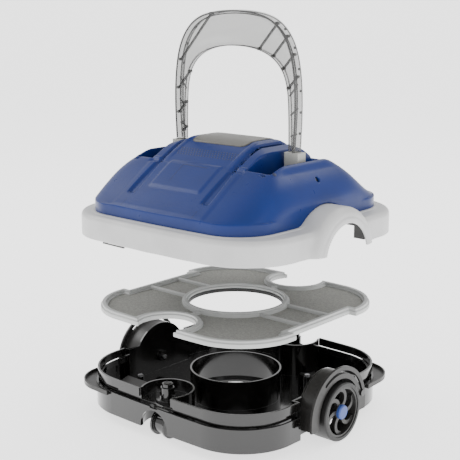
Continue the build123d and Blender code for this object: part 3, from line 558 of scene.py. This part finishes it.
def dome_discs(name, places, radius, above, material):
    """Small round discs lying on the dome."""
    points, faces = [], []
    for x, y in places:
        first = len(points)
        points.append(surface(x, y, above))
        for ring, drop in ((0.8, 0), (1.0, 0.25)):
            for turn in range(16):
                angle = math.tau * turn / 16
                rim_x = x + ring * radius * math.cos(angle)
                points.append(surface(rim_x, y + ring * radius * math.sin(angle), above - drop))
        for turn in range(16):
            a, b = first + 1 + turn, first + 1 + (turn + 1) % 16
            faces.append((first, a, b))
            faces.append((a, a + 16, b + 16, b))
    return mesh_piece(name, points, faces, material, "cover", COVER)


VENT_PITCH = 4.6
vents = []
for row in range(4):
    stagger = VENT_PITCH / 2 if row % 2 else 0
    vents += [(column * VENT_PITCH + stagger - 48.3, -51.5 - 3.6 * row) for column in range(22)]
# Painted shade: dark discs for the vent perforations and two small round marks.
dome_discs("vent_holes", vents, 1.25, 0.10, BLUE_SHADE)
dome_discs("side_marks", [(-118, -66), (118, -66)], 2.6, 0.3, BLUE_SHADE)


def plate_grid(name, half_x, half_y, corner, above, thick, material):
    """A thin plate with round corners that follows the dome, about the label's middle."""
    columns, rows = 41, 39
    points, faces = [], []
    for level in (above, above - thick):
        for row in range(rows):
            for column in range(columns):
                u, v = 2 * column / (columns - 1) - 1, 2 * row / (rows - 1) - 1
                into_corner = max(0, (abs(v) * half_y - half_y + corner) / corner)
                pull = corner / half_x * (1 - math.sqrt(max(0, 1 - into_corner**2)))
                x, y = u * half_x * (1 - pull * abs(u)), v * half_y
                points.append(surface(x, y + PLATE_MIDDLE, level))
    for row in range(rows - 1):
        for column in range(columns - 1):
            a = row * columns + column
            faces.append((a, a + 1, a + columns + 1, a + columns))
            b = a + rows * columns
            faces.append((b, b + columns, b + columns + 1, b + 1))
    rim = list(range(columns)) + [r * columns + columns - 1 for r in range(1, rows)]
    rim += [(rows - 1) * columns + c for c in range(columns - 2, -1, -1)]
    rim += [r * columns for r in range(rows - 2, 0, -1)]
    for a, b in zip(rim, rim[1:] + rim[:1]):
        faces.append((a, a + rows * columns, b + rows * columns, b))
    return mesh_piece(name, points, faces, material, "cover", COVER)


PLATE_X = plate_high[0]
PLATE_Y = (plate_high[1] - plate_low[1]) / 2
PLATE_MIDDLE = (plate_high[1] + plate_low[1]) / 2
plate = plate_grid("label_face", PLATE_X, PLATE_Y, 7, 1.1, 1.6, TAUPE)
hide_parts("label_plate")
plate_grid("label_gasket", PLATE_X + 1.1, PLATE_Y + 1.1, 8, 0.5, 1.2, LINE)

# ---------------------------------------------------------------- white skirt
SKIRT_X, SKIRT_Y = 172.0, skirt_high[1]
SKIRT_TOP = 79.0
SKIRT_BOW, SKIRT_CORNER = 8.0, 66.0
HUMP_OUT = skirt_high[0]
ARCH_R = 44.0
ARCH_IN = 130.0
HUMP_ROUND = 11.0


def drum(x, y, z, radius, reach, rounding):
    """A round-edged drum about the axle that reaches out to both sides."""
    return rounded_meet(hump_drum(x, y, z, radius), np.abs(x) - reach, rounding)


def skirt_field(x, y, z):
    """The white skirt as a field, negative inside the plastic."""
    edge = outline_distance(x, y, SKIRT_X, SKIRT_Y, SKIRT_BOW, SKIRT_CORNER)
    blue = dome_rim(x, y)
    shoulder = SKIRT_TOP + 0.6 - 0.055 * np.clip(blue - 4, 0, 30)
    outer = rounded_meet(edge, z - shoulder, 6.5)
    collar = rounded_meet(blue - 4.2, z - SKIRT_TOP - 1.6, 0.8)
    outer = soft_join(outer, collar, 0.6)
    hump = drum(x, y, z, HUMP_R, HUMP_OUT - 1.3, HUMP_ROUND)
    outer = soft_join(outer, hump, 7)
    lip = drum(x, y, z, ARCH_R + 7.5, HUMP_OUT, 2.2)
    outer = soft_join(outer, lip, 1.5)
    under = outline_distance(x, y, SKIRT_X - SKIN, SKIRT_Y - SKIN, SKIRT_BOW, SKIRT_CORNER - SKIN)
    inner = np.maximum(under, z - SKIRT_TOP + SKIN)
    inner = np.minimum(inner, drum(x, y, z, HUMP_R - SKIN, HUMP_OUT - SKIN, 8.5))
    inner = np.minimum(inner, blue + SKIN)
    wall = np.maximum(outer, -inner)
    arch = np.maximum(hump_drum(x, y, z, ARCH_R), ARCH_IN - np.abs(x))
    wall = soft_cut(wall, arch, 0.8)
    return np.maximum(wall, SKIRT_LOW - z)


SKIRT_STEP = 1.25
skirt_points, skirt_faces = polygonise(
    skirt_field,
    (-HUMP_OUT, -SKIRT_Y, SKIRT_LOW),
    (HUMP_OUT, SKIRT_Y, AXLE_Z + HUMP_R),
    SKIRT_STEP,
)
skirt = mesh_piece("skirt_shell", skirt_points, skirt_faces, WHITE, "cover", COVER)
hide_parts("skirt")

# ---------------------------------------------------------------- filter
FRAME_HALF = frame_high[1]
RING_R = 70.8
RING_HOLE = 64.2
POD_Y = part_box("caster_post_rear")[0][1] / MM + 15.0
POD_HOLE = 37.0
NOTCH_X = 142.0
NOTCH_Y = 64.0
RAIL = 9.5
RIB_Y = 28.0
RIB_HALF = 2.6
FRAME_TOP = 64.0


def filter_edge(x, y, inset):
    """Distance outside the filter's outline drawn in by inset."""
    half = FRAME_HALF - inset
    edge = outline_distance(x, y, half, half, 5, half - 80)
    notch = np.maximum(NOTCH_X - inset - np.abs(x), np.abs(y) - NOTCH_Y - inset)
    pod = np.hypot(x, np.abs(y) - POD_Y) - POD_HOLE - inset
    return np.maximum(edge, np.maximum(-notch, -pod))


def filter_field(x, y, z):
    """Rails, ribs and ring of the filter, in two steps, as one field."""
    outside = filter_edge(x, y, 0)
    rail = np.maximum(outside, -filter_edge(x, y, RAIL))
    low_tier = rounded_meet(rail, np.abs(z - 56.2) - 2.9, 0.7)
    upper_rail = np.maximum(filter_edge(x, y, 1.9), -filter_edge(x, y, 7.5))
    high_tier = rounded_meet(upper_rail, np.abs(z - 58.0) - 4.4, 0.8)
    rib_side = np.maximum(np.abs(np.abs(y) - RIB_Y) - RIB_HALF, RING_R - 3 - np.abs(x))
    rib_end = np.maximum(np.abs(x) - RIB_HALF, RING_R - 3 - np.abs(y))
    ribs = np.maximum(np.minimum(rib_side, rib_end), outside + 4)
    rib = rounded_meet(ribs, np.abs(z - 57.6) - 3.6, 0.7)
    away = np.hypot(x, y)
    foot = np.maximum(away - RING_R - 2.4, RING_HOLE + 2 - away)
    ring_base = rounded_meet(foot, np.abs(z - 57.4) - 4.1, 0.8)
    ring_top = rounded_meet(np.maximum(away - RING_R, RING_HOLE + 2.6 - away), np.abs(z - 60.4) - 3.6, 0.8)
    ring_step = rounded_meet(np.maximum(away - RING_R + 2, RING_HOLE - away), np.abs(z - 59.8) - 1.6, 0.6)
    field = np.minimum(np.minimum(low_tier, high_tier), rib)
    field = np.minimum(field, np.minimum(np.minimum(ring_base, ring_top), ring_step))
    tab = rounded_meet(np.maximum(np.abs(x - 44) - 2.2, np.abs(y + 143) - 4), np.abs(z - 59.5) - 3.4, 0.7)
    return np.minimum(field, tab)


FILTER_STEP = 1.0
filter_points, filter_faces = polygonise(
    filter_field, (-FRAME_HALF, -FRAME_HALF, FRAME_LOW), (FRAME_HALF, FRAME_HALF, FRAME_TOP), FILTER_STEP
)
rails = mesh_piece("filter_rails", filter_points, filter_faces, GREY, "filter", FILTER)
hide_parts("filter_frame")

# ---------------------------------------------------------------- handle
FOOT_Z = arch_low[2] - COVER
ARCH_TOP = arch_high[2] - COVER
OUTER = ((102, 0), (103.5, 70), (100, 104), (89.5, 137), (66, 162), (32, 172.5), (0, ARCH_TOP - FOOT_Z))
INNER = ((89.5, 0), (88.5, 52), (86, 78), (79, 98), (64, 114), (40, 124.5), (0, 129))
ARCH_Y = arch_high[1]


def smooth_arch(points, count):
    """A symmetric arch through half a set of points, as evenly spaced x, z pairs."""
    right = [(x, FOOT_Z + z) for x, z in points]
    knots = np.array(right + [(-x, z) for x, z in right[-2::-1]], float)
    gaps = np.linalg.norm(np.diff(knots, axis=0), axis=1)
    at = np.concatenate([[0], np.cumsum(gaps)])
    size = len(knots)
    system, right_side = np.zeros((size, size)), np.zeros((size, 2))
    system[0, :2] = 2, 1
    right_side[0] = 3 * (knots[1] - knots[0]) / gaps[0]
    system[-1, -2:] = 1, 2
    right_side[-1] = 3 * (knots[-1] - knots[-2]) / gaps[-1]
    for k in range(1, size - 1):
        system[k, k - 1 : k + 2] = gaps[k], 2 * (gaps[k] + gaps[k - 1]), gaps[k - 1]
        before, after = (knots[k] - knots[k - 1]) / gaps[k - 1], (knots[k + 1] - knots[k]) / gaps[k]
        right_side[k] = 3 * (gaps[k] * before + gaps[k - 1] * after)
    slopes = np.linalg.solve(system, right_side)
    places = np.linspace(0, at[-1], count)
    span = np.clip(np.searchsorted(at, places) - 1, 0, size - 2)
    h = gaps[span][:, None]
    t = ((places - at[span]) / gaps[span])[:, None]
    return (
        (2 * t**3 - 3 * t**2 + 1) * knots[span]
        + (t**3 - 2 * t**2 + t) * h * slopes[span]
        + (3 * t**2 - 2 * t**3) * knots[span + 1]
        + (t**3 - t**2) * h * slopes[span + 1]
    )


STATIONS = 161
outer_line = smooth_arch(OUTER, STATIONS)
inner_line = smooth_arch(INNER, STATIONS)


def loft(name, sections, material, body="handle"):
    """A closed skin through equal rings of points, capped at both ends."""
    sections = np.array(sections, float)
    count, ring = sections.shape[:2]
    faces = []
    for k in range(count - 1):
        for j in range(ring):
            a, b = k * ring + j, k * ring + (j + 1) % ring
            faces.append((a, b, b + ring, a + ring))
    faces.append(tuple(range(ring - 1, -1, -1)))
    faces.append(tuple(range((count - 1) * ring, count * ring)))
    return mesh_piece(name, sections.reshape(-1, 3), faces, material, body, COVER)


def across_arch(station, inward, side):
    """A point inward from the outer curve towards the inner one, at a distance to the side."""
    start, end = outer_line[station], inner_line[station]
    way = (end - start) / np.linalg.norm(end - start)
    point = start + way * inward
    return (point[0], side, point[1])


def arch_section(station):
    """The handle's section: a wide outer band, a thin web and a narrow inner lip."""
    deep = float(np.linalg.norm(inner_line[station] - outer_line[station]))
    half = ARCH_Y
    ring = [(0.9, half), (0, half - 0.9), (0, -half + 0.9), (0.9, -half), (3.0, -half), (3.2, -half + 0.6)]
    ring += [(3.4, -1.3), (deep - 2.4, -1.3), (deep - 2.2, -3.2), (deep, -3.2)]
    ring += [(deep, 3.2), (deep - 2.2, 3.2), (deep - 2.4, 1.3), (3.4, 1.3), (3.2, half - 0.6), (3.0, half)]
    return [across_arch(station, inward, side) for inward, side in ring]


grip = loft("handle_grip", [arch_section(k) for k in range(STATIONS)], SMOKE)
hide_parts("handle_arch")


def tube(name, points, radius, material, body, lift, closed=False):
    """A round bead along points given in millimetres."""
    curve = bpy.data.curves.new(name, "CURVE")
    curve.dimensions = "3D"
    curve.bevel_depth = radius * MM
    curve.bevel_resolution = 3
    curve.use_fill_caps = True
    spline = curve.splines.new("POLY")
    spline.points.add(len(points) - 1)
    for knot, (x, y, z) in zip(spline.points, points):
        knot.co = (x * MM, y * MM, (z + lift) * MM, 1)
    spline.use_cyclic_u = closed
    shell = bpy.data.objects.new(name, curve)
    bpy.context.scene.collection.objects.link(shell)
    mesh = bpy.data.meshes.new_from_object(shell.evaluated_get(bpy.context.evaluated_depsgraph_get()))
    bpy.data.objects.remove(shell)
    mesh.name = name
    piece = bpy.data.objects.new(name, mesh)
    bpy.context.scene.collection.objects.link(piece)
    mesh.materials.clear()
    mesh.materials.append(material)
    mesh.polygons.foreach_set("use_smooth", [True] * len(mesh.polygons))
    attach(piece, body)
    return piece


def arch_line(inward, side):
    """Points along the arch at a distance in from the outer edge, or from the inner one if negative."""
    points = []
    for k in range(1, STATIONS - 1):
        deep = float(np.linalg.norm(inner_line[k] - outer_line[k]))
        points.append(across_arch(k, inward if inward >= 0 else deep + inward, side))
    return points


for name, inward, side, radius in (
    ("band_front_edge", 1.6, -ARCH_Y + 1.1, 1.05),
    ("band_rear_edge", 1.8, ARCH_Y - 0.8, 0.55),
    ("band_root", 4.4, 0, 0.8),
    ("lip_front_edge", -0.9, -2.5, 0.55),
    ("lip_rear_edge", -0.9, 2.5, 0.45),
):
    tube(name, arch_line(inward, side), radius, LINE, "handle", COVER)

RIB_SLOPE = 1.10
RIB_SPACING = 30.2
RIB_START = -21 - 289 / RIB_SLOPE


def inside_web(x, z):
    """Whether a point of the arch's plane lies in the web, by counting crossings of its outline."""
    loop = np.concatenate([outer_line, inner_line[::-1]])
    x0, z0 = loop[:, 0], loop[:, 1]
    x1, z1 = np.roll(x0, -1), np.roll(z0, -1)
    spans = (z0 > z) != (z1 > z)
    reach = x0 + (z - z0) * (x1 - x0) / np.where(z1 == z0, 1e-9, z1 - z0)
    return int((spans & (x < reach)).sum()) % 2 == 1


rib_ends = []
for number in range(-9, 6):
    run = []
    for z in np.arange(FOOT_Z + 12, ARCH_TOP, 0.5):
        x = z / RIB_SLOPE + RIB_START + RIB_SPACING * number
        if inside_web(x, z):
            run.append((x, z))
        elif run:
            break
    if len(run) > 8:
        (x0, z0), (x1, z1) = run[2], run[-3]
        tube(f"web_rib_{number + 9}", [(x0, 0, z0), (x1, 0, z1)], 1.75, SMOKE_RIB, "handle", COVER)
        rib_ends += [(x0, z0), (x1, z1)]

for number, height in enumerate((24, 56, 88)):
    for hand in (-1, 1):
        station = int(np.argmin(np.hypot(outer_line[:, 0] - hand * 103, outer_line[:, 1] - FOOT_Z - height)))
        start = across_arch(station, 3, 0)
        deep = float(np.linalg.norm(inner_line[station] - outer_line[station]))
        end = across_arch(station, deep - 2, 0)
        tube(f"leg_rib_{number}_{hand + 1}", [start, end], 1.2, SMOKE_RIB, "handle", COVER)


def beads(name, places, radius, depth, material, body, lift):
    """Round-ended pins across the handle, one mesh."""
    points, faces = [], []
    profile = ((0, -depth), (0.7, -depth), (1.0, -depth + 0.5), (1.0, depth - 0.5), (0.7, depth), (0, depth))
    turns = 12
    for x, y, z in places:
        first = len(points)
        for share, along in profile:
            for turn in range(turns):
                angle = math.tau * turn / turns
                out_x, out_z = share * radius * math.cos(angle), share * radius * math.sin(angle)
                points.append((x + out_x, y + along, z + out_z))
        for row in range(len(profile) - 1):
            for turn in range(turns):
                a, b = first + row * turns + turn, first + row * turns + (turn + 1) % turns
                faces.append((a, a + turns, b + turns, b))
    return mesh_piece(name, points, faces, material, body, lift)


beads("rib_pins", [(x, 0, z) for x, z in rib_ends], 2.0, 3.4, LINE, "handle", COVER)
band_pins = []
for station in range(8, STATIONS - 8, 9):
    if abs(outer_line[station, 0]) > 60:
        x, _, z = across_arch(station, 2.4, 0)
        band_pins.append((x, ARCH_Y - 2.4, z))
beads("band_pins", band_pins, 1.7, 1.3, LINE, "handle", COVER)

# ---------------------------------------------------------------- materials of the CAD nodes that stay
for hand in ("right", "left"):
    dress(f"fender_{hand}", SATIN)
    dress(f"axle_{hand}", STEEL)
    dress(f"tyre_{hand}", RUBBER)
    dress(f"wheel_rim_{hand}", SATIN)
    dress(f"hub_cap_{hand}", CAP_BLUE)
    dress(f"handle_socket_{hand}", CONNECTOR)
for end in ("front", "rear"):
    dress(f"caster_post_{end}", BLACK)
    dress(f"caster_fork_{end}", SATIN)
    dress(f"stem_cap_{end}", BLACK)
    dress(f"caster_axle_{end}", STEEL)
    dress(f"caster_wheel_{end}", BLACK)
    dress(f"inlet_flap_{end}", SATIN)
    dress(f"inlet_seat_{end}", BLACK)
for part in ("front_left", "front_right", "left", "right", "rear_left", "rear_right"):
    dress(f"filter_mesh_{part}", CLOTH)
for node, material in (
    ("tray_shell", BLACK),
    ("corner_ears", SATIN),
    ("fender_knobs", BLACK),
    ("seat_screws", STEEL),
    ("ring_seal", SEAL),
    ("power_button", PALE),
    ("charge_socket", SATIN),
    ("charge_cap", SEAL),
    ("inner_chassis", SATIN),
    ("latch_strips", SATIN),
    ("motor_housing", BLACK),
    ("housing_seal", SEAL),
    ("housing_lid", SATIN),
    ("lid_screws", STEEL),
    ("battery_pack", CELL),
    ("drive_motor", STEEL),
    ("circuit_board", BOARD),
    ("motor_shaft", STEEL),
    ("impeller", PALE),
    ("pump_casing", SATIN),
    ("jet_duct", SATIN),
    ("pivot_pins", STEEL),
):
    dress(node, material)

# ---------------------------------------------------------------- stage, lights and camera
floor_mesh = bpy.data.meshes.new("floor")
REACH = 2000.0
floor_corners = [(-REACH, -REACH, 0), (REACH, -REACH, 0), (REACH, REACH, 0), (-REACH, REACH, 0)]
floor_mesh.from_pydata(floor_corners, [], [(0, 1, 2, 3)])
floor_material, _, floor_shader = node_tree("floor_paper")
floor_shader.inputs["Base Color"].default_value = (0.97, 0.97, 0.97, 1)
floor_shader.inputs["Roughness"].default_value = 0.9
floor_shader.inputs["Specular IOR Level"].default_value = 0.1
floor_shader.inputs["Emission Color"].default_value = (1, 1, 1, 1)
floor_shader.inputs["Emission Strength"].default_value = 1.6
floor_mesh.materials.append(floor_material)
floor = bpy.data.objects.new("floor", floor_mesh)
bpy.context.scene.collection.objects.link(floor)

world = bpy.data.worlds.new("studio")
world.use_nodes = True
world.node_tree.nodes["Background"].inputs["Color"].default_value = (1, 1, 1, 1)
world.node_tree.nodes["Background"].inputs["Strength"].default_value = 1.12
bpy.context.scene.world = world

AIM = Vector((0, 0, 0.27))


def softbox(name, place, size, power):
    """A large soft square light aimed at the middle of the model."""
    lamp = bpy.data.lights.new(name, "AREA")
    lamp.shape = "RECTANGLE"
    lamp.size, lamp.size_y = size
    lamp.energy = power
    holder = bpy.data.objects.new(name, lamp)
    bpy.context.scene.collection.objects.link(holder)
    holder.location = place
    holder.rotation_mode = "QUATERNION"
    holder.rotation_quaternion = (AIM - Vector(place)).to_track_quat("-Z", "Y")


softbox("key_left", (-1.9, -0.6, 1.7), (1.2, 1.0), 16)
softbox("top_back", (0.2, 1.8, 2.2), (1.8, 1.0), 14)
softbox("right_fill", (2.2, -0.2, 0.9), (0.8, 1.2), 6)

HEADING = math.radians(41.168)
PITCH = math.radians(12.675)
camera = bpy.data.cameras.new("camera")
camera.lens = 80.22
camera.sensor_width = 36.0
eye = bpy.data.objects.new("camera", camera)
bpy.context.scene.collection.objects.link(eye)
eye.location = (0.8769, -1.0148, 0.5512)
level = Vector((-math.sin(HEADING), math.cos(HEADING), 0)) * math.cos(PITCH)
forward = level + Vector((0, 0, -math.sin(PITCH)))
eye.rotation_mode = "QUATERNION"
eye.rotation_quaternion = forward.to_track_quat("-Z", "Y")
bpy.context.scene.camera = eye
